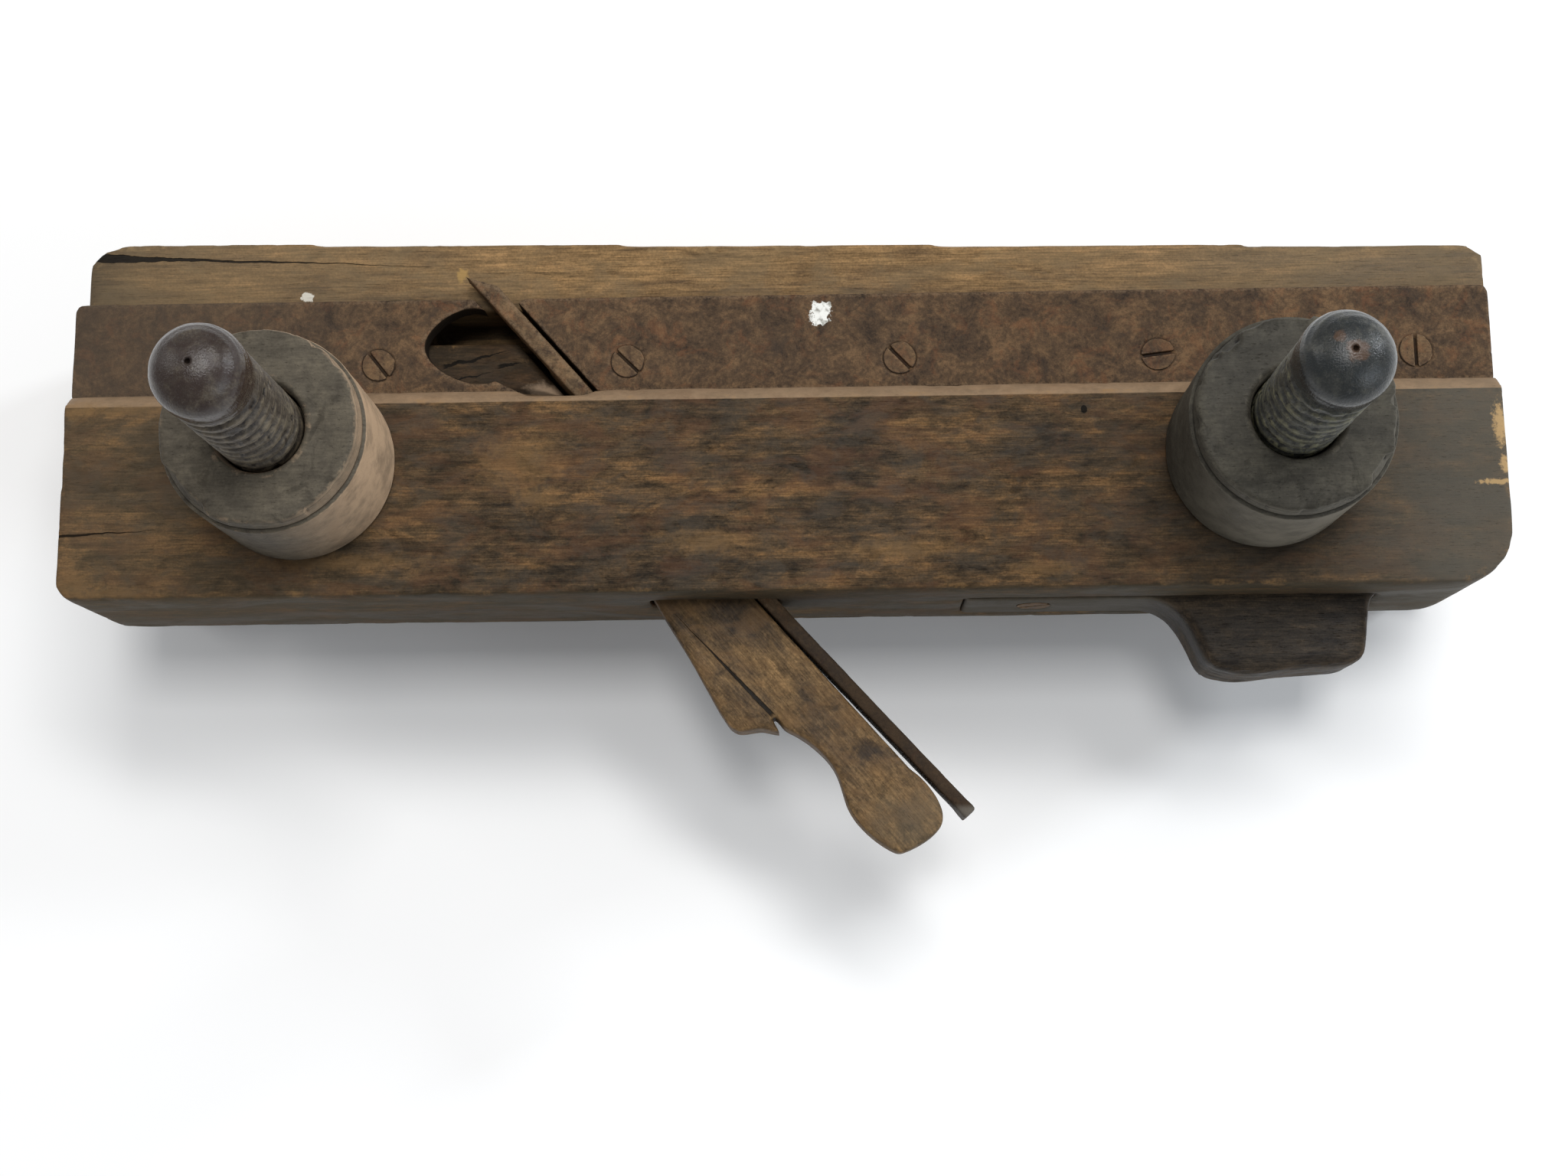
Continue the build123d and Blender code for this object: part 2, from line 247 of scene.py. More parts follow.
# ---- material nodes --------------------------------------------------------------
class Shader:
    """One Principled material, with short names for the nodes that it needs."""

    def __init__(self, name):
        self.material = bpy.data.materials.new(name)
        self.material.use_nodes = True
        self.tree = self.material.node_tree
        self.surface = self.tree.nodes["Principled BSDF"]
        self.where = self.add("ShaderNodeTexCoord").outputs["Object"]

    def add(self, kind, **settings):
        node = self.tree.nodes.new(kind)
        for key, value in settings.items():
            setattr(node, key, value)
        return node

    def put(self, socket, value):
        """Links an output to a socket, or sets a plain value on it."""
        if isinstance(value, bpy.types.NodeSocket):
            self.tree.links.new(value, socket)
        elif isinstance(value, tuple) and socket.type == "RGBA":
            socket.default_value = (*value, 1.0)
        else:
            socket.default_value = value

    def math(self, operation, first, second=0.0, third=0.0, clamp=False):
        node = self.add("ShaderNodeMath", operation=operation, use_clamp=clamp)
        for socket, value in zip(node.inputs, (first, second, third)):
            self.put(socket, value)
        return node.outputs[0]

    def step(self, value, low, high, start=0.0, end=1.0):
        """Smooth change from start to end as the value goes from low to high."""
        node = self.add("ShaderNodeMapRange", interpolation_type="SMOOTHSTEP")
        self.put(node.inputs["From Min"], low)
        self.put(node.inputs["From Max"], high)
        self.put(node.inputs["To Min"], start)
        self.put(node.inputs["To Max"], end)
        self.put(node.inputs["Value"], value)
        return node.outputs["Result"]

    def mix(self, share, first, second, mode="MIX"):
        node = self.add("ShaderNodeMix", data_type="RGBA", blend_type=mode)
        by_kind = {socket.identifier: socket for socket in node.inputs}
        self.put(by_kind["Factor_Float"], share)
        self.put(by_kind["A_Color"], first)
        self.put(by_kind["B_Color"], second)
        return next(socket for socket in node.outputs if socket.identifier == "Result_Color")

    def ramp(self, value, *stops):
        node = self.add("ShaderNodeValToRGB")
        places = node.color_ramp.elements
        while len(places) < len(stops):
            places.new(0.5)
        for place, (position, colour) in zip(places, stops):
            place.position = position
            place.color = (*colour, 1.0)
        self.put(node.inputs["Fac"], value)
        return node.outputs["Color"]

    def noise(self, cell, turn=0.0, detail=4.0, rough=0.55, bend=0.0, shift=0.0):
        """Noise whose features are about one cell across, turned about Z. Cell is in metres."""
        place = self.add("ShaderNodeMapping", vector_type="TEXTURE")
        self.put(place.inputs["Vector"], self.where)
        place.inputs["Rotation"].default_value = (0, 0, turn)
        place.inputs["Location"].default_value = (shift, shift, shift)
        place.inputs["Scale"].default_value = cell if isinstance(cell, tuple) else (cell, cell, cell)
        node = self.add("ShaderNodeTexNoise")
        self.put(node.inputs["Vector"], place.outputs[0])
        node.inputs["Scale"].default_value = 1.0
        node.inputs["Detail"].default_value = detail
        node.inputs["Roughness"].default_value = rough
        node.inputs["Distortion"].default_value = bend
        return node.outputs["Fac"]

    def axis(self, letter):
        node = self.add("ShaderNodeSeparateXYZ")
        self.put(node.inputs[0], self.where)
        return node.outputs[letter]

    def mask(self, name):
        return self.add("ShaderNodeAttribute", attribute_name=name).outputs["Fac"]

    def spot(self, centre, size, ragged=0.5, cell=1.5 * MM, soft=0.08):
        """1 in a ragged blob about a point, 0 away from it, with an edge as wide as soft."""
        away = self.add("ShaderNodeVectorMath", operation="SUBTRACT")
        self.put(away.inputs[0], self.where)
        away.inputs[1].default_value = centre
        scaled = self.add("ShaderNodeVectorMath", operation="DIVIDE")
        self.put(scaled.inputs[0], away.outputs[0])
        scaled.inputs[1].default_value = size
        length = self.add("ShaderNodeVectorMath", operation="LENGTH")
        self.put(length.inputs[0], scaled.outputs[0])
        rough = self.math("MULTIPLY_ADD", self.noise(cell, detail=5.0, rough=0.65), ragged * 2, -ragged)
        return self.step(self.math("ADD", length.outputs["Value"], rough), 1 + soft, 1 - soft)

    def crack(self, start, end, width, wander=0.6 * MM, cell=6 * MM):
        """A split from start to end, seen along Z, that narrows to nothing at its end."""
        run = Vector(end) - Vector(start)
        along = run.normalized()
        offset = self.add("ShaderNodeVectorMath", operation="SUBTRACT")
        self.put(offset.inputs[0], self.where)
        offset.inputs[1].default_value = (*start, 0)
        ahead = self.add("ShaderNodeVectorMath", operation="DOT_PRODUCT")
        self.put(ahead.inputs[0], offset.outputs[0])
        ahead.inputs[1].default_value = (along.x, along.y, 0)
        aside = self.add("ShaderNodeVectorMath", operation="DOT_PRODUCT")
        self.put(aside.inputs[0], offset.outputs[0])
        aside.inputs[1].default_value = (-along.y, along.x, 0)
        strayed = self.math("MULTIPLY_ADD", self.noise(cell, detail=3.0), 2 * wander, -wander)
        gap = self.math("ABSOLUTE", self.math("ADD", aside.outputs["Value"], strayed))
        half = self.step(ahead.outputs["Value"], 0.0, run.length, width / 2, 0.0)
        inside = self.step(self.math("SUBTRACT", half, gap), -0.06 * MM, 0.06 * MM)
        begun = self.step(ahead.outputs["Value"], -1 * MM, 0.0)
        ended = self.step(ahead.outputs["Value"], run.length, run.length * 0.97)
        return self.math("MULTIPLY", inside, self.math("MULTIPLY", begun, ended))

    def bump(self, height, distance, strength=1.0, below=None):
        node = self.add("ShaderNodeBump")
        node.inputs["Strength"].default_value = strength
        node.inputs["Distance"].default_value = distance
        self.put(node.inputs["Height"], height)
        if below is not None:
            self.put(node.inputs["Normal"], below)
        return node.outputs["Normal"]

    def finish(self, colour, rough, normal, metal=0.0, gloss=0.4):
        self.put(self.surface.inputs["Base Color"], colour)
        self.put(self.surface.inputs["Roughness"], rough)
        self.put(self.surface.inputs["Normal"], normal)
        self.put(self.surface.inputs["Metallic"], metal)
        self.surface.inputs["Specular IOR Level"].default_value = gloss
        return self.material


class Wood(Shader):
    """Old oiled wood: blotches, mottling, fibres and dark pores along the grain.

    The grain runs along X turned about Z, or along Z where upright. Along and across stretch it.
    Contrast spreads the tones over the stops. Fine is how much the fibres and the finest grain
    change the brightness.
    """

    def __init__(
        self,
        name,
        stops,
        turn=0.0,
        along=1.0,
        across=1.0,
        seed=0.0,
        upright=False,
        contrast=1.0,
        fine=0.22,
    ):
        super().__init__(name)

        def cell(length, width):
            length, width = length * along * MM, width * across * MM
            return (width, width, length) if upright else (length, width, width)

        self.blotch = self.noise(cell(26, 10), turn, 6.0, 0.6, 0.7, seed)
        self.streak = self.noise(cell(30, 1.4), turn, 6.0, 0.62, 0.2, seed + 0.3)
        self.mottle = self.noise(cell(4.0, 1.6), turn, 6.0, 0.7, 0.4, seed + 0.5)
        self.fibre = self.noise(cell(6, 0.32), turn, 4.0, 0.6, 0.1, seed + 0.7)
        self.pore = self.noise(cell(1.8, 0.2), turn, 2.0, 0.5, 0.0, seed + 1.1)
        self.stain = self.noise(cell(9, 5), turn, 6.0, 0.68, 0.9, seed + 2.0)
        self.fine = self.noise(0.45 * MM, 0.0, 3.0, 0.7, 0.0, seed)
        total = self.math("MULTIPLY", self.mottle, 0.4)
        total = self.math("MULTIPLY_ADD", self.streak, 0.25, total)
        total = self.math("MULTIPLY_ADD", self.blotch, 0.5, total)
        # noise gathers about its middle, so it is spread to reach both ends of the stops
        middle = 0.575
        spread = 4.6 * contrast
        tone = self.math("MULTIPLY_ADD", total, spread, 0.5 - middle * spread, clamp=True)
        self.colour = self.ramp(tone, *stops)
        self.shade(self.step(self.fibre, 0.35, 0.65, 1 - fine, 1 + fine))
        self.pores = self.step(self.pore, 0.62, 0.74)
        self.darken(self.pores, 0.35)
        self.shade(self.step(self.fine, 0.3, 0.7, 1 - fine, 1 + fine))
        closed = self.math("SUBTRACT", 1.0, self.pores)
        self.heights = [(self.fibre, 0.10 * MM), (closed, 0.06 * MM)]

    def shade(self, level):
        """Multiplies the colour by a level."""
        self.colour = self.mix(1.0, self.colour, level, "MULTIPLY")

    def darken(self, share, amount):
        self.colour = self.mix(self.math("MULTIPLY", share, amount), self.colour, (0.004, 0.003, 0.002))

    def paint(self, share, colour, amount=1.0):
        self.colour = self.mix(self.math("MULTIPLY", share, amount, clamp=True), self.colour, colour)

    def stained(self, amount, low=0.53, high=0.66):
        """Dark soft stains."""
        self.darken(self.step(self.stain, low, high), amount)

    def tinted(self, colour, amount, cell=13 * MM, shift=3.0):
        """Soft patches of another colour."""
        patch = self.noise((cell, cell * 0.5, cell * 0.5), detail=5.0, rough=0.65, bend=0.6, shift=shift)
        self.paint(self.step(patch, 0.46, 0.62), colour, amount)

    def worn_edges(self, colour, amount=0.9, cell=5 * MM, start=0.25, least=0.46):
        """Bare wood along the arrises, broken up by noise."""
        broken = self.step(self.noise(cell, detail=6.0, rough=0.7), least, least + 0.16)
        share = self.math("MULTIPLY", self.step(self.mask("edge"), start, start + 0.5), broken)
        self.paint(share, colour, amount)

    def shade_hollows(self, amount=0.7):
        # painted shade: darkens hollows and corners, found by the hollow mask, where shade falls
        self.darken(self.step(self.mask("hollow"), 0.15, 0.8), amount)

    def done(self, rough=(0.5, 0.75), gloss=0.14, dent=0.25 * MM):
        dents = self.noise(3.5 * MM, detail=4.0, rough=0.6)
        normal = self.bump(dents, dent, 0.6)
        for height, distance in self.heights:
            normal = self.bump(height, distance, 0.8, normal)
        level = self.step(self.blotch, 0.35, 0.65, *rough)
        return self.finish(self.colour, level, normal, gloss=gloss)


def dress(piece, material, body, node=None):
    """Gives a piece its material and its body, and hides the CAD node it stands for."""
    piece.data.materials.clear()
    piece.data.materials.append(material)
    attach(piece, body)
    if node:
        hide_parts(node)


# ---- stock -----------------------------------------------------------------------
def stock_material():
    wood = Wood(
        "stock_wood",
        [
            (0.0, srgb(38, 31, 23)),
            (0.35, srgb(62, 50, 36)),
            (0.65, srgb(84, 66, 46)),
            (1.0, srgb(114, 86, 56)),
        ],
    )
    wood.stained(0.5)
    wood.tinted(srgb(96, 66, 46), 0.35)
    wood.tinted(srgb(68, 62, 54), 0.4, 9 * MM, 6.0)
    across = wood.axis("X")
    # paler at the toe, darker towards the heel, and grey at its very end
    wood.paint(wood.step(across, TOE + 95 * MM, TOE + 10 * MM), srgb(98, 85, 66), 0.3)
    wood.paint(wood.step(across, HEEL - 110 * MM, HEEL - 30 * MM), srgb(58, 52, 44), 0.4)
    wood.paint(wood.step(across, HEEL - 40 * MM, HEEL - 6 * MM), srgb(92, 88, 79), 0.6)
    throat_and_faces(wood)
    wood.worn_edges(srgb(140, 108, 70), 0.5, 6 * MM, 0.35, 0.54)
    # painted shade in the hollows of the stock
    wood.shade_hollows()
    split = wood.crack((TOE - 1 * MM, -13.2 * MM), (TOE + 20 * MM, -12.4 * MM), 0.5 * MM)
    wood.darken(split, 0.9)
    mark_stock(wood)
    wood.heights.append((wood.math("SUBTRACT", 1.0, split), 0.5 * MM))
    return wood.done(gloss=0.07)


def mark_stock(wood):
    """A pin hole, fresh chips and rubbed marks on the right side."""
    pin_hole = wood.spot((58.7 * MM, 9.0 * MM, FACE), (0.6 * MM, 0.8 * MM, 2 * MM), 0.2)
    wood.darken(pin_hole, 0.95)
    # each mark is a place, a half width and a half height in mm; the chips are at the heel
    for x, y, wide, high in ((-1.4, 5.0, 1.3, 3.8), (-1.0, -2.8, 0.9, 1.5), (-2.8, -6.3, 3.2, 0.5)):
        size = (wide * MM, high * MM, 1.8 * MM)
        chip = wood.spot((HEEL + x * MM, y * MM, FACE), size, 1.5, 0.9 * MM, 0.4)
        wood.paint(chip, srgb(184, 152, 106), 0.75)
    rubbed_marks = (
        (-50, 0, 7, 4.5),
        (-47, -7, 4, 1.8),
        (-14, -16, 7, 2.0),
        (-84, -19, 14, 1.4),
        (22, -18, 9, 1.6),
        (-136, 12, 4, 2.5),
        (-136, -23, 4, 2.5),
        (50, -22, 5, 1.2),
        (-127, 11.3, 9, 0.9),
        (-128, -24.6, 9, 1.1),
    )
    for x, y, wide, high in rubbed_marks:
        size = (wide * MM, high * MM, 1.5 * MM)
        rub = wood.spot((x * MM, y * MM, FACE), size, 1.5, 1.6 * MM, 0.7)
        wood.paint(rub, srgb(132, 102, 66), 0.32)


def throat_and_faces(wood):
    """The dusty chamfer, the grey top face and painted shade inside the throat."""
    y = wood.axis("Y")
    z = wood.axis("Z")
    on_chamfer = wood.step(y, SHOULDER - 3.55 * MM, SHOULDER - 3.35 * MM)
    on_chamfer = wood.math("MULTIPLY", on_chamfer, wood.step(z, SKATE_FACE, SKATE_FACE + 2 * MM))
    dusty = wood.step(wood.noise(3 * MM, detail=5.0, rough=0.7), 0.3, 0.7, 0.7, 1.0)
    wood.paint(wood.math("MULTIPLY", on_chamfer, dusty), srgb(146, 122, 97), 0.85)
    grey = wood.step(wood.noise(7 * MM, detail=5.0, rough=0.65), 0.35, 0.65, 0.5, 1.0)
    on_top = wood.step(y, TOP + 0.9 * MM, TOP + 0.3 * MM)
    wood.paint(wood.math("MULTIPLY", on_top, grey), srgb(66, 60, 47), 0.7)
    # painted shade: the wood recessed below the skate face, inside the throat, is painted dark in
    # patches
    deep = wood.step(z, SKATE_FACE, SKATE_FACE - 2 * MM)
    below = wood.math("MULTIPLY", wood.step(y, SHOULDER, SHOULDER + 0.8 * MM), deep)
    patchy_throat_shade = wood.step(wood.noise((5 * MM, 1.2 * MM, 5 * MM), detail=5.0, rough=0.7), 0.4, 0.62, 0.6, 1.0)
    wood.paint(wood.math("MULTIPLY", below, patchy_throat_shade), srgb(42, 34, 25), 0.85)
    # each crack has a start, an end and a width in mm
    splits = (
        ((-66.5, 22.6), (-50.5, 26.2), 0.8),
        ((-61.0, 18.6), (-53.0, 18.0), 0.5),
        ((-55.5, 22.2), (-50.5, 23.4), 1.0),
        ((-65.0, 19.8), (-55.0, 21.4), 0.4),
    )
    for start, end, width in splits:
        crack = wood.crack([v * MM for v in start], [v * MM for v in end], width * MM, 0.9 * MM, 3 * MM)
        wood.darken(wood.math("MULTIPLY", crack, below), 0.92)
    # dust at the foot of the iron
    place = (-46.2 * MM, 17.0 * MM, FACE - 10 * MM)
    dust = wood.spot(place, (3.6 * MM, 1.6 * MM, 5 * MM), 1.1, 1.5 * MM, 0.6)
    wood.paint(dust, srgb(152, 130, 108), 0.7)


def make_stock():
    stock = dense_copy("stock", "worn_stock", 0.8 * MM)
    points = read_points(stock.data)
    # the toe end was sawn and worn a little wavy
    at_toe = ease(-points[:, 0], -TOE - 5 * MM, -TOE)
    wave = noise(points, np.array([1000, 11, 25]) * MM, 12, 2) * at_toe
    points[:, 0] += 0.45 * MM * (1 + wave) * at_toe
    write_points(stock.data, points)
    wear_down(stock, 0.12 * MM, 0.28 * MM, 0.14 * MM, 9 * MM, 3)
    dress(stock, stock_material(), "stock", "stock")


# ---- fence -----------------------------------------------------------------------
def fence_material():
    wood = Wood(
        "fence_wood",
        [
            (0.0, srgb(78, 59, 38)),
            (0.35, srgb(108, 84, 55)),
            (0.65, srgb(128, 101, 67)),
            (1.0, srgb(154, 120, 80)),
        ],
        along=1.8,
        seed=4.0,
        contrast=0.85,
    )
    wood.stained(0.25)
    across = wood.axis("X")
    wood.paint(wood.step(across, TOE + 110 * MM, TOE + 20 * MM), srgb(104, 90, 70), 0.5)
    wood.paint(wood.step(across, TOE + 16 * MM, TOE + 1 * MM), srgb(70, 62, 50), 0.6)
    wood.paint(wood.step(across, HEEL - 110 * MM, HEEL - 20 * MM), srgb(98, 88, 72), 0.55)
    wood.tinted(srgb(110, 94, 70), 0.4, 16 * MM, 8.0)
    wood.worn_edges(srgb(158, 132, 94), 0.4, 5 * MM, 0.4, 0.52)
    # painted shade in the hollows of the fence
    wood.shade_hollows()
    y = wood.axis("Y")
    # darker along the edge beside the skate
    wood.darken(wood.step(y, SKATE_EDGE + 1.6 * MM, SKATE_EDGE + 0.2 * MM), 0.4)
    split = fence_cracks(wood)
    wood.darken(split, 0.95)
    # wood rubbed bare beside the tip of the iron, and a fleck of white paint
    face = fence_high.z
    place = (TOE + 76.0 * MM, 41.6 * MM, face)
    rubbed = wood.spot(place, (1.0 * MM, 1.3 * MM, 1 * MM), 1.3, 1.2 * MM, 0.4)
    wood.paint(rubbed, srgb(166, 134, 80), 0.7)
    place = (-94.7 * MM, 37.5 * MM, face)
    fleck = wood.spot(place, (1.3 * MM, 1.0 * MM, 1 * MM), 0.7, 0.9 * MM)
    wood.paint(fleck, srgb(206, 202, 190), 0.9)
    wood.heights.append((wood.math("SUBTRACT", 1.0, split), 0.8 * MM))
    return wood.done()


def fence_cracks(wood):
    """A wide crack from the toe and a thin one beyond it, both fading with depth."""
    wide = wood.crack((TOE - 1 * MM, 46.6 * MM), (TOE + 30 * MM, 45.4 * MM), 1.9 * MM, 0.7 * MM, 5 * MM)
    thin = wood.crack((TOE + 14 * MM, 46.0 * MM), (TOE + 70 * MM, 43.4 * MM), 0.5 * MM, 0.5 * MM)
    split = wood.math("MAXIMUM", wide, thin)
    face = fence_high.z
    shallow = wood.step(wood.axis("Z"), face - 22 * MM, face - 8 * MM)
    return wood.math("MULTIPLY", split, shallow)


def make_fence():
    fence = dense_copy("fence", "worn_fence", 1.0 * MM)
    wear_down(fence, 0.12 * MM, 0.2 * MM, 0.08 * MM, 10 * MM, 21)
    dress(fence, fence_material(), "fence", "fence")


# ---- rusty steel -----------------------------------------------------------------
def rust_material(name, dark, mid, light, seed, red=0.4):
    """Brown rusted steel. The caller may paint over it before calling rust_done."""
    steel = Shader(name)
    patch = steel.noise(6 * MM, detail=8.0, rough=0.72, bend=0.8, shift=seed)
    steel.grain = steel.noise(0.8 * MM, detail=6.0, rough=0.78, shift=seed + 1)
    pit = steel.noise(0.45 * MM, detail=3.0, rough=0.6, shift=seed + 2)
    total = steel.math("MULTIPLY_ADD", steel.grain, 0.45, steel.math("MULTIPLY", patch, 0.6))
    # noise gathers about its middle, so it is spread to reach both ends of the tones
    middle, spread = 0.525, 4.2
    tone = steel.math("MULTIPLY_ADD", total, spread, 0.5 - middle * spread, clamp=True)
    colour = steel.ramp(tone, (0.0, dark), (0.5, mid), (1.0, light))
    rusty = steel.noise(5 * MM, detail=6.0, rough=0.72, bend=0.8, shift=seed + 3)
    rusty = steel.math("MULTIPLY", steel.step(rusty, 0.5, 0.66), red)
    colour = steel.mix(rusty, colour, srgb(122, 78, 50))
    sooty = steel.noise(7 * MM, detail=6.0, rough=0.7, bend=0.9, shift=seed + 5)
    sooty = steel.math("MULTIPLY", steel.step(sooty, 0.53, 0.68), 0.5)
    colour = steel.mix(sooty, colour, srgb(52, 44, 38))
    pitted = steel.math("MULTIPLY", steel.step(pit, 0.58, 0.7), 0.35)
    colour = steel.mix(pitted, colour, srgb(44, 34, 27))
    on_edge = steel.step(steel.mask("edge"), 0.3, 0.8)
    steel.bare = steel.math("MULTIPLY", on_edge, steel.step(steel.grain, 0.4, 0.6))
    colour = steel.mix(steel.math("MULTIPLY", steel.bare, 0.25), colour, srgb(138, 118, 96))
    # painted shade: hollows and corners are darkened nearly to black
    hollow = steel.step(steel.mask("hollow"), 0.15, 0.8)
    steel.colour = steel.mix(steel.math("MULTIPLY", hollow, 0.8), colour, (0.006, 0.004, 0.003))
    steel.relief = steel.bump(patch, 0.3 * MM, 0.6)
    steel.relief = steel.bump(steel.grain, 0.14 * MM, 0.8, steel.relief)
    steel.relief = steel.bump(pit, 0.05 * MM, 0.7, steel.relief)
    steel.dull = steel.step(patch, 0.35, 0.65, 0.5, 0.72)
    return steel


def rust_done(steel):
    metal = steel.math("MULTIPLY", steel.bare, 0.3)
    return steel.finish(steel.colour, steel.dull, steel.relief, metal, 0.09)


def skate_material():
    tones = (srgb(46, 36, 28), srgb(80, 63, 47), srgb(112, 88, 64))
    steel = rust_material("skate_steel", *tones, 1.0, 0.28)
    across = steel.axis("X")
    toe = steel.step(across, TOE + 75 * MM, TOE + 15 * MM)
    steel.colour = steel.mix(steel.math("MULTIPLY", toe, 0.5), steel.colour, srgb(78, 68, 58))
    # painted shade: the side wall of the curved cut that forms the throat is painted nearly black
    split = steel.add("ShaderNodeSeparateXYZ")
    steel.put(split.inputs[0], steel.add("ShaderNodeTexCoord").outputs["Normal"])
    flank = steel.step(split.outputs["Z"], 0.75, 0.3)
    heelward = steel.step(across, THROAT_TOE - 2 * MM, THROAT_TOE)
    toeward = steel.step(across, THROAT_HEEL + 3 * MM, THROAT_HEEL)
    throat_wall_shade = steel.math("MULTIPLY", heelward, toeward)
    inside = steel.step(steel.axis("Y"), SKATE_EDGE - 0.5 * MM, SKATE_EDGE - 0.9 * MM)
    throat_wall_shade = steel.math("MULTIPLY", throat_wall_shade, inside)
    steel.colour = steel.mix(steel.math("MULTIPLY", flank, throat_wall_shade), steel.colour, srgb(30, 24, 18))
    # a chip of white paint, with grey dirt on it
    dirty = steel.noise(1.3 * MM, detail=4.0)
    paint = steel.ramp(dirty, (0.34, srgb(150, 148, 140)), (0.52, srgb(232, 232, 226)))
    place = (8.2 * MM, 30.7 * MM, skate_high.z)
    fleck = steel.spot(place, (1.9 * MM, 2.3 * MM, 1 * MM), 1.5, 2.6 * MM, 0.05)
    steel.colour = steel.mix(fleck, steel.colour, paint)
    return rust_done(steel)


def make_skate():
    """The two plates of the skate, its screws, and the screw of the handle."""
    steel = skate_material()
    for node in ("front_skate", "rear_skate"):
        plate = dense_copy(node, f"rusty_{node}", 0.4 * MM)
        wear_down(plate, 0.05 * MM, 0.12 * MM, 0.1 * MM, 6 * MM, 31)
        dress(plate, steel, "stock", node)
    tones = (srgb(60, 46, 35), srgb(92, 73, 54), srgb(118, 94, 68))
    screw_steel = rust_done(rust_material("screw_steel", *tones, 9.0, 0.3))
    for number in range(1, 7):
        node = f"skate_screw_{number}"
        screw = dense_copy(node, f"rusty_{node}", 0.14 * MM)
        wear_down(screw, 0.04 * MM, 0.04 * MM, 0.04 * MM, 2 * MM, 40 + number)
        paint_seam_shade(screw)
        dress(screw, screw_steel, "stock", node)
    screw = dense_copy("handle_screw", "rusty_handle_screw", 0.16 * MM)
    dress(screw, screw_steel, "stock", "handle_screw")


def paint_seam_shade(screw):
    """Painted shade in the seam round a screw head, missing here and there."""
    mesh = screw.data
    points = read_points(mesh)
    centre = (points.min(axis=0) + points.max(axis=0)) / 2
    reach = np.hypot(points[:, 0] - centre[0], points[:, 1] - centre[1])
    # painted shade along the seam, written into the hollow mask
    seam_shade = ease(reach, 3.0 * MM, 3.2 * MM) * ease(noise(points, 2.5 * MM, 7, 2), -0.5, 0.1)
    write_mask(mesh, "hollow", np.maximum(mask_of(mesh, "hollow"), seam_shade))


def make_iron():
    iron = dense_copy("iron", "forged_iron", 0.4 * MM)
    mesh = iron.data
    points = read_points(mesh)
    bed = np.array([math.cos(BED_ANGLE), -math.sin(BED_ANGLE), 0])
    along = (points - np.array([iron_low.x, iron_high.y, 0])) @ bed
    middle = np.array([iron_high.x, iron_low.y, (iron_low.z + iron_high.z) / 2])
    # the top end is spread by years of hammer blows
    swell = 0.1 * ease(along, along.max() - 3.5 * MM, along.max() - 0.8 * MM)
    away = points - middle
    away -= np.outer(away @ bed, bed)
    write_points(mesh, points + away * swell[:, None])
    wear_down(iron, 0.1 * MM, 0.12 * MM, 0.1 * MM, 5 * MM, 51)
    tones = (srgb(58, 46, 36), srgb(94, 76, 56), srgb(124, 100, 74))
    steel = rust_material("iron_steel", *tones, 5.0, 0.3)
    # darker outside the stock, and bright where it is hammered
    above = steel.step(steel.axis("Y"), TOP + 2 * MM, TOP - 4 * MM)
    steel.colour = steel.mix(steel.math("MULTIPLY", above, 0.8), steel.colour, srgb(38, 30, 24))
    end = steel.step(steel.axis("Y"), iron_low.y + 3.0 * MM, iron_low.y + 1.5 * MM)
    steel.colour = steel.mix(steel.math("MULTIPLY", end, 0.5), steel.colour, srgb(120, 116, 108))
    dress(iron, rust_done(steel), "iron", "iron")


# ---- wedge and handle ----------------------------------------------------------------
def wedge_material():
    wood = Wood(
        "wedge_wood",
        [
            (0.0, srgb(60, 47, 33)),
            (0.35, srgb(86, 68, 47)),
            (0.65, srgb(108, 86, 59)),
            (1.0, srgb(134, 106, 72)),
        ],
        turn=-BED_ANGLE,
        along=0.7,
        across=1.15,
        seed=7.0,
        contrast=0.85,
    )
    wood.stained(0.4)
    shadow = wood.step(wood.axis("Y"), TOP - 12 * MM, TOP - 3 * MM)
    wood.darken(shadow, 0.45)
    wood.tinted(srgb(112, 84, 54), 0.35, 9 * MM)
    wood.worn_edges(srgb(150, 120, 80), 0.25, 3 * MM, 0.45, 0.5)
    # painted shade in the hollows of the wedge
    wood.shade_hollows(0.6)
    middle = (wedge_low.z + wedge_high.z) / 2
    place = (15.9 * MM, -55.3 * MM, wedge_high.z)
    bruise = wood.spot(place, (2.2 * MM, 2.0 * MM, 3 * MM), 1.2, 1.5 * MM, 0.5)
    wood.paint(bruise, srgb(44, 38, 34), 0.75)
    head = wood.spot((25 * MM, -69 * MM, wedge_high.z), (7 * MM, 5 * MM, 9 * MM), 1.2, 4 * MM, 0.6)
    wood.paint(head, srgb(92, 82, 66), 0.45)
    split = wood.crack((-2.3 * MM, -47.8 * MM), (-21.0 * MM, -28.0 * MM), 0.8 * MM, 0.25 * MM)
    wood.darken(split, 0.95)
    wood.darken(wood.step(wood.axis("Z"), middle, middle - 6 * MM), 0.2)
    wood.heights.append((wood.math("SUBTRACT", 1.0, split), 0.6 * MM))
    return wood.done()


def make_wedge():
    wedge = dense_copy("wedge", "split_wedge", 0.32 * MM, 4)
    wear_down(wedge, 0.12 * MM, 0.2 * MM, 0.2 * MM, 6 * MM, 61)
    dress(wedge, wedge_material(), "wedge", "wedge")


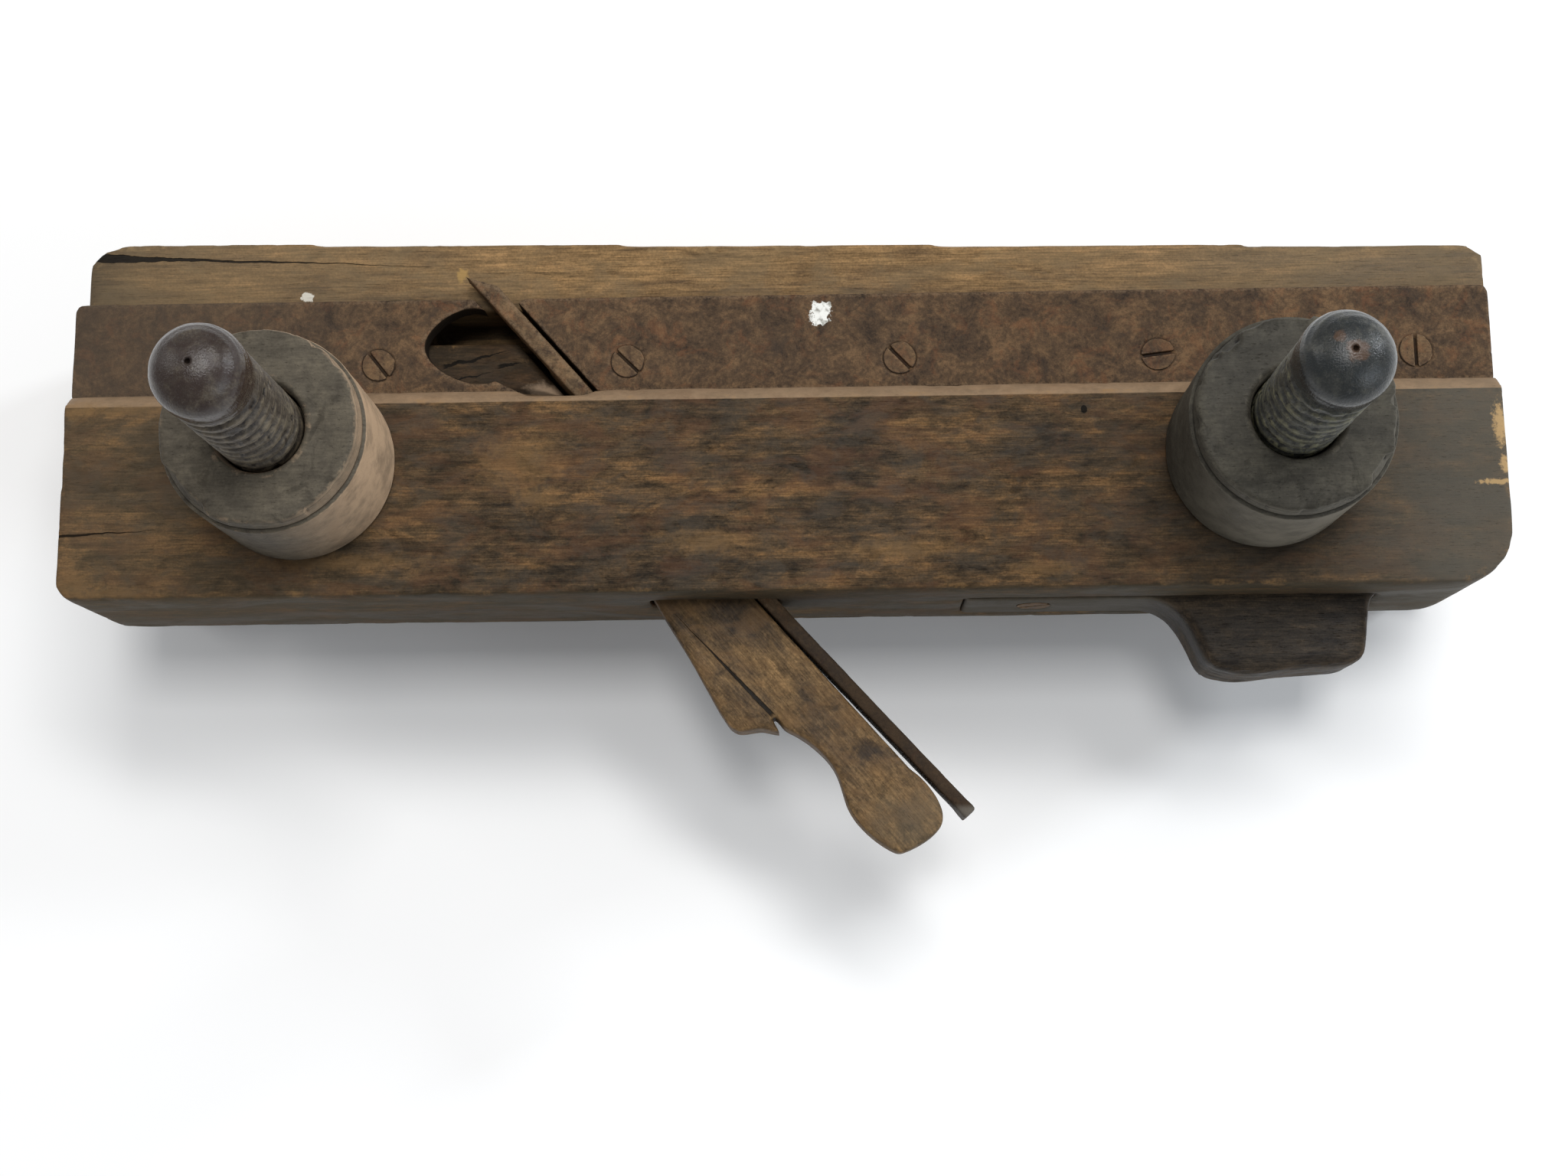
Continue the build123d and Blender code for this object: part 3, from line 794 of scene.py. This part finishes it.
def make_handle():
    handle = dense_copy("handle", "broken_handle", 0.5 * MM, 3)
    mesh = handle.data
    points = read_points(mesh)
    normals = point_normals(mesh)
    # torn fibres over the broken end, smooth rounding on what stands out of the stock
    broken = ease(-points[:, 1], 37 * MM, 41 * MM)
    torn = noise(points, np.array([5, 30, 1.2]) * MM, 71, 3)
    proud = ease(-points[:, 1], -TOP, -TOP + 3 * MM) * mask_of(mesh, "edge")
    loss = 0.6 * MM * broken * (0.5 + 0.5 * torn) + 0.6 * MM * proud
    write_points(mesh, points - normals * loss[:, None])
    wood = Wood(
        "handle_wood",
        [(0.0, srgb(26, 21, 17)), (0.5, srgb(48, 41, 33)), (1.0, srgb(72, 60, 46))],
        seed=11.0,
    )
    grey = wood.step(wood.axis("Y"), TOP + 0.9 * MM, TOP + 0.2 * MM)
    tongue = wood.math("MULTIPLY", grey, wood.step(wood.axis("X"), 78 * MM, 70 * MM))
    wood.paint(tongue, srgb(62, 56, 44), 0.75)
    wood.worn_edges(srgb(84, 70, 54), 0.35)
    dress(handle, wood.done((0.45, 0.65)), "stock", "handle")


# ---- arms ------------------------------------------------------------------------
def arm_profile(low, high, radius):
    """Outline of an arm from the bottom of its tenon to the pit in its tip."""
    outline = [(0.02 * MM, low), (ARM_TENON * 0.96, low), (ARM_TENON, low + 0.4 * MM)]
    outline += [(ARM_TENON, z) for z in np.linspace(low + 1 * MM, ARM_SHOULDER - 0.1 * MM, 8)]
    outline += [(radius, z) for z in np.arange(ARM_SHOULDER, high - ARM_DOME, 0.2 * MM)]
    for turn in np.linspace(0, math.pi / 2, 30)[:-1]:
        outline.append((radius * math.cos(turn), high - ARM_DOME + ARM_DOME * math.sin(turn)))
    outline += [(0.55 * MM, high - 0.05 * MM), (0.45 * MM, high - 0.5 * MM)]
    outline.append((0.3 * MM, high - 1.1 * MM))
    outline.append((0.02 * MM, high - 1.3 * MM))
    return outline


def arm_material(name, dark, mid, light, dome_colour, crest_colour, tip):
    """Threaded wood: dark grooves and pale crests below, a polished dome above."""
    wood = Wood(name, [(0.0, dark), (0.5, mid), (1.0, light)], along=0.6, seed=13.0, upright=True)
    ragged = wood.math("MULTIPLY_ADD", wood.noise(4 * MM, detail=4.0), 9 * MM, wood.axis("Z"))
    below = wood.step(ragged, tip - 4 * MM, tip - 9 * MM)
    crest = wood.math("MULTIPLY", wood.step(wood.mask("edge"), 0.08, 0.5), below)
    worn = wood.step(wood.noise(2.5 * MM, detail=5.0, rough=0.7), 0.42, 0.62, 0.15, 1.0)
    wood.paint(wood.math("MULTIPLY", crest, worn), crest_colour, 0.65)
    # painted shade in the thread grooves
    wood.shade_hollows(0.95)
    wood.polish = wood.math("SUBTRACT", 1.0, below)
    uneven = wood.step(wood.noise(3 * MM, detail=5.0, rough=0.7, bend=0.5), 0.38, 0.64, 1.0, 0.5)
    wood.paint(wood.math("MULTIPLY", wood.polish, uneven), dome_colour)
    return wood


def arm_done(wood):
    """Shiny where hands have polished the dome, duller on the thread."""
    finished = wood.done((0.3, 0.42), 0.36, 0.12 * MM)
    wood.put(wood.surface.inputs["Roughness"], wood.step(wood.polish, 0.0, 1.0, 0.45, 0.15))
    return finished


def make_arm(node, name, material, seed, side):
    """An arm with its worn thread. Side is the direction in which the thread is least worn."""
    low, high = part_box(node)
    radius = (high.x - low.x) / 2
    centre = ((low.x + high.x) / 2, (low.y + high.y) / 2, 0)
    thread_end = high.z - 10.0 * MM

    def cut_thread(wide, tall, turn):
        spot = np.stack([np.cos(turn) * radius, np.sin(turn) * radius, tall], axis=-1)
        spot = spot.reshape(-1, 3)

        def rough(cell, step, octaves):
            return noise(spot, np.asarray(cell) * MM, seed + step, octaves).reshape(tall.shape)

        # a groove wanders a little, and its flanks are ragged
        part = np.mod(tall / PITCH - turn / (2 * math.pi) + 0.07 * rough(5, 1, 2), 1.0)
        groove = ease(np.abs(part - 0.5) * 2 + 0.14 * rough(1.4, 2, 2), 0.25, 0.95)
        worn = 0.5 + 0.5 * rough(7, 0, 2)
        # outside the nuts the far side is rubbed nearly smooth
        outside = ease(tall, FACE + 28 * MM, FACE + 36 * MM)
        facing = np.cos(turn - side)
        rubbed = ease(-facing, -0.25, 0.55) * outside
        depth = THREAD_DEPTH * (0.6 + 0.5 * worn) * (1 - 0.9 * rubbed)
        # the first turns below the dome are torn deepest
        torn = ease(tall, thread_end - 9 * MM, thread_end - 3 * MM) * ease(facing, 0.1, 0.7)
        depth *= 1 + 0.9 * torn
        depth *= ease(tall, ARM_SHOULDER + 1 * MM, ARM_SHOULDER + 3 * MM)
        depth *= ease(-tall, -thread_end - 1.0 * MM, -thread_end + 1.0 * MM)
        crest_chips = 0.4 * MM * ease(rough(1.8, 3, 3), 0.1, 0.5) * (1 - groove)
        crest_chips *= ease(-tall, -thread_end, -thread_end + 2 * MM)
        uneven = (rough(2.2, 4, 3) + 1) * 0.07 * MM
        # fine rings left by turning show on the rubbed side
        rings = 0.05 * MM * (1 + np.sin(tall / PITCH * 6 * math.pi - 3 * turn)) * rubbed
        threaded = np.clip((tall - ARM_SHOULDER) / MM, 0, 1)
        narrow = 0.2 * MM * ease(-tall, -thread_end - 3 * MM, -thread_end + 1 * MM) * threaded
        bumpy = (uneven + crest_chips + rings) * ease(wide, 1 * MM, 3 * MM) * threaded
        return np.maximum(wide - depth * groove - bumpy - narrow, 0.01 * MM), tall

    outline = arm_profile(low.z, high.z, radius)
    arm = lathe(name, outline, ARM_SEGMENTS, centre, cut_thread)
    write_turned_relief(arm.data, 0.25 * MM)
    dress(arm, material, "fence", node)


def write_turned_relief(mesh, size):
    write_relief(mesh, read_points(mesh), edge_pairs(mesh), 8, size, 1.4)


# ---- nuts ------------------------------------------------------------------------
def nut_profile(low, high, back, front, groove):
    """Closed outline of a nut: outer side up, outer face in, bore down, inner face out."""
    rim, bore = NUT_RIM, NUT_BORE
    outline = []
    for turn in np.linspace(-math.pi / 2, 0, 8):
        outline.append((back - rim + rim * math.cos(turn), low + rim + rim * math.sin(turn)))
    for z in np.arange(low + rim, high - rim, 0.2 * MM):
        notch = max(0.0, 1 - abs(z - groove) / (0.3 * MM)) if groove else 0.0
        wide = front if groove and z > groove else back
        outline.append((wide - GROOVE_DEPTH * notch, z))
    for turn in np.linspace(0, math.pi / 2, 8):
        outline.append((front - rim + rim * math.cos(turn), high - rim + rim * math.sin(turn)))
    outline += [(r, high) for r in np.arange(front - rim - 0.4 * MM, bore + 1.1 * MM, -0.4 * MM)]
    # the mouth of the bore is a little worn
    outline += [(bore + 0.8 * MM, high - 0.1 * MM), (bore + 0.5 * MM, high - 0.4 * MM)]
    outline += [(bore + 0.2 * MM, high - 1.2 * MM)]
    outline += [(bore, z) for z in np.arange(high - 2.4 * MM, low + 0.6 * MM, -0.8 * MM)]
    outline += [(r, low) for r in np.arange(bore + 0.5 * MM, back - rim, 0.8 * MM)]
    return outline


def noise_round(turn, times, seed):
    """Noise from -1 to 1 round a circle, about so many features to the radian."""
    ring = np.stack([np.cos(turn), np.sin(turn), np.zeros_like(turn)], axis=-1).reshape(-1, 3)
    return noise(ring, 1 / times, seed, 3).reshape(turn.shape)


def make_nut(node, name, seed, chips, grooved=False, bites=()):
    """A worn nut.

    Each bite out of its front rim is an angle, a half width in radians and a depth.
    """
    low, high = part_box(node)
    back = (high.x - low.x) / 2
    front = back - (NUT_SET_BACK if grooved else 0.0)
    centre = ((low.x + high.x) / 2, (low.y + high.y) / 2, 0)
    groove = low.z + GROOVE_SHARE * (high.z - low.z) if grooved else None

    def batter(wide, tall, turn):
        spot = np.stack([np.cos(turn) * wide, np.sin(turn) * wide, tall], axis=-1)
        spot = spot.reshape(-1, 3)

        def rough(cell, step, octaves):
            return noise(spot, np.asarray(cell) * MM, seed + step, octaves).reshape(tall.shape)

        rim = ease(tall, high.z - 4.4 * MM, high.z - 1.4 * MM)
        rim = rim * ease(wide, front - 5.5 * MM, front - 0.5 * MM)
        # broad shallow losses along the front rim, then small nicks, then the given bites
        broad = ease(noise_round(turn, 1.6, seed), 0.05, 0.13)
        broad = broad * (0.55 + 0.45 * noise_round(turn, 5, seed + 2))
        nick = ease(noise_round(turn, 9, seed + 4), 0.3, 0.5)
        nick = nick * ease(noise_round(turn, 4, seed + 6), 0.0, 0.3)
        loss = chips * rim * (broad + 0.15 * nick)
        for angle, half_width, deep in bites:
            away = np.abs(np.angle(np.exp(1j * (turn - angle))))
            away = away + 0.05 * noise_round(turn, 6, seed + 8)
            loss = np.maximum(loss, deep * rim * ease(half_width - away, 0.0, 0.12))
        uneven = (rough(5, 3, 3) + 1) * 0.1 * MM
        outer = ease(wide, NUT_BORE + 1 * MM, NUT_BORE + 3 * MM)
        face = ease(tall, high.z - 0.3 * MM, high.z) * 0.12 * MM * (1 + rough(9, 6, 2))
        return wide - (loss + uneven) * outer, tall - face * outer

    outline = nut_profile(low.z, high.z, back, front, groove)
    nut = lathe(name, outline, NUT_SEGMENTS, centre, batter)
    write_turned_relief(nut.data, 0.3 * MM)
    return nut


def nut_material(name, tones, side, rubbed, seed, edge_amount):
    """Smooth grime on the faces. The turned side shows more of the wood, most of all where rubbed, and
    is painted paler towards one direction as if lit from there.

    Tones are dark, middle and light. Rubbed is the direction in which the side is palest, both rubbed
    and painted as lit.
    """
    stops = list(zip((0.0, 0.5, 1.0), tones))
    wood = Wood(name, stops, along=0.6, across=1.6, seed=seed, contrast=0.55, fine=0.1)
    wood.stained(0.35)
    split = wood.add("ShaderNodeSeparateXYZ")
    wood.put(split.inputs[0], wood.add("ShaderNodeTexCoord").outputs["Normal"])
    flank = wood.step(split.outputs["Z"], 0.8, 0.35)
    facing = wood.math("MULTIPLY", split.outputs["X"], math.cos(rubbed))
    facing = wood.math("MULTIPLY_ADD", split.outputs["Y"], math.sin(rubbed), facing)
    blotchy = wood.step(wood.noise(6 * MM, detail=6.0, rough=0.65), 0.35, 0.6, 0.55, 1.0)
    # painted light and rubbed wear: the side is paler where it faces the rubbed direction, where the
    # light falls
    lit_and_rubbed = wood.step(facing, -0.6, 0.8, 0.02, 1.0)
    # in front of the groove the pale side, rubbed wear and painted light, is only half as strong
    halved_in_front = wood.step(wood.axis("Z"), FACE + 25.5 * MM, FACE + 26.5 * MM, 1.0, 0.5)
    lit_and_rubbed = wood.math("MULTIPLY", lit_and_rubbed, halved_in_front)
    wood.paint(wood.math("MULTIPLY", flank, wood.math("MULTIPLY", blotchy, lit_and_rubbed)), side, 0.95)
    wood.worn_edges(side, edge_amount, 2.5 * MM, 0.35, 0.5)
    # painted shade in the hollows, the groove and the mouth of the bore
    wood.shade_hollows(0.95)
    return wood.done((0.5, 0.65), 0.1, 0.12 * MM)


def make_arms():
    toe_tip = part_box("toe_arm")[1].z
    toe_wood = arm_material(
        "toe_arm_wood",
        srgb(44, 38, 34),
        srgb(70, 63, 55),
        srgb(98, 90, 76),
        srgb(50, 40, 36),
        srgb(122, 110, 90),
        toe_tip,
    )
    heel_low, heel_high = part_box("heel_arm")
    heel_x = (heel_low.x + heel_high.x) / 2
    tip = heel_high.z
    heel_wood = arm_material(
        "heel_arm_wood",
        srgb(38, 38, 36),
        srgb(60, 60, 56),
        srgb(88, 87, 78),
        srgb(38, 41, 42),
        srgb(124, 120, 92),
        tip,
    )
    # bare brown wood near the tip
    for x, y, size in ((0.4, -0.4, 1.8), (-2.2, 2.2, 1.0)):
        place = (heel_x + x * MM, y * MM, tip - 0.6 * MM)
        patch = heel_wood.spot(place, (size * MM, size * MM, 3 * MM), 0.8, 1.5 * MM, 0.25)
        heel_wood.paint(patch, srgb(86, 62, 44), 0.6)
    make_arm("toe_arm", "toe_screw_arm", arm_done(toe_wood), 81, -2.1)
    make_arm("heel_arm", "heel_screw_arm", arm_done(heel_wood), 91, -1.2)


def make_nuts():
    """An outer and an inner nut on each arm, pale at the toe and dark at the heel."""
    grey = nut_material(
        "grey_nut_wood",
        (srgb(54, 49, 42), srgb(80, 74, 64), srgb(104, 96, 82)),
        srgb(192, 163, 133),
        0.5,
        17.0,
        0.3,
    )
    dark = nut_material(
        "dark_nut_wood",
        (srgb(44, 42, 37), srgb(66, 63, 56), srgb(88, 84, 73)),
        srgb(112, 106, 94),
        -0.9,
        19.0,
        0.35,
    )
    toe_bites = (
        (3.9, 0.34, 1.1 * MM),
        (3.6, 0.13, 0.8 * MM),
        (1.0, 0.09, 0.9 * MM),
        (0.7, 0.13, 0.5 * MM),
    )
    heel_bites = (
        (2.28, 0.18, 1.6 * MM),
        (2.5, 0.1, 1.0 * MM),
        (0.1, 0.15, 1.4 * MM),
        (-0.62, 0.22, 1.2 * MM),
    )
    for end, wood, slot, seed, chips, bites in (
        ("toe", grey, "grey_nut_wood", 101, 0.7 * MM, toe_bites),
        ("heel", dark, "dark_nut_wood", 111, 1.2 * MM, heel_bites),
    ):
        outer = make_nut(f"{end}_outer_nut", f"{end}_turned_outer_nut", seed, chips, True, bites)
        dress(outer, wood, f"{end}_outer_nut", f"{end}_outer_nut")
        inner = make_nut(f"{end}_inner_nut", f"{end}_turned_inner_nut", seed + 5, 0.5 * MM)
        dress(inner, wood, f"{end}_inner_nut", f"{end}_inner_nut")


# ---- floor, light and camera -----------------------------------------------------------
def make_studio():
    """A pale paper floor, a faint sky and five soft lights."""
    floor_mesh = bpy.data.meshes.new("floor")
    reach = 3.0
    corners = [(-reach, -reach, 0), (reach, -reach, 0), (reach, reach, 0), (-reach, reach, 0)]
    floor_mesh.from_pydata(corners, [], [(0, 1, 2, 3)])
    floor = bpy.data.objects.new("floor", floor_mesh)
    bpy.context.scene.collection.objects.link(floor)
    paper = Shader("pale_paper")
    faint = paper.noise(0.25, detail=2.0)
    colour = paper.mix(faint, (0.93, 0.93, 0.93), (0.95, 0.95, 0.95))
    fibre = paper.bump(faint, 0.1 * MM, 0.1)
    floor_mesh.materials.append(paper.finish(colour, 0.9, fibre, gloss=0.1))

    world = bpy.data.worlds.new("soft_sky")
    bpy.context.scene.world = world
    world.use_nodes = True
    sky = world.node_tree.nodes["Background"]
    sky.inputs["Color"].default_value = (0.98, 0.985, 1.0, 1.0)
    sky.inputs["Strength"].default_value = 0.27

    add_light("strip", (0.4, 0.75, 1.85), (1.0, 0.3), 17.0, (1.0, 0.995, 0.985))
    add_light("overhead", (0.02, 0.2, 2.0), (0.4, 0.4), 11.0, (1.0, 0.995, 0.985))
    add_light("right_window", (1.25, 0.6, 0.72), (0.2, 0.2), 7.0, (0.9, 0.95, 1.0))
    add_light("right_fill", (1.2, -0.8, 0.9), (0.8, 0.8), 6.5, (0.84, 0.92, 1.0))
    add_light("left_lamp", (-1.2, 0.5, 0.95), (0.4, 0.4), 3.0, (1.0, 0.99, 0.97))


def add_light(name, place, size, power, colour):
    """A soft light that faces the middle of the object."""
    lamp = bpy.data.lights.new(name, "AREA")
    lamp.shape = "RECTANGLE"
    lamp.size, lamp.size_y = size
    lamp.energy = power
    lamp.color = colour
    light = bpy.data.objects.new(name, lamp)
    light.location = place
    aim = Vector((0, 0, 30 * MM)) - Vector(place)
    light.rotation_euler = aim.to_track_quat("-Z", "Y").to_euler()
    bpy.context.scene.collection.objects.link(light)


def make_camera():
    """Nearly overhead, from the side where the wedge and handle stand out."""
    lens = bpy.data.cameras.new("camera")
    lens.sensor_width = 36
    lens.lens = 46.58
    camera = bpy.data.objects.new("camera", lens)
    camera.location = (6.16 * MM, -92.94 * MM, FACE + 378.8 * MM)
    camera.rotation_mode = "ZYX"
    camera.rotation_euler = [math.radians(a) for a in (10.14, 0.82, -0.74)]
    bpy.context.scene.collection.objects.link(camera)
    bpy.context.scene.camera = camera
    bpy.context.scene.view_settings.view_transform = "Standard"


make_stock()
make_fence()
make_skate()
make_iron()
make_wedge()
make_handle()
make_arms()
make_nuts()
make_studio()
make_camera()
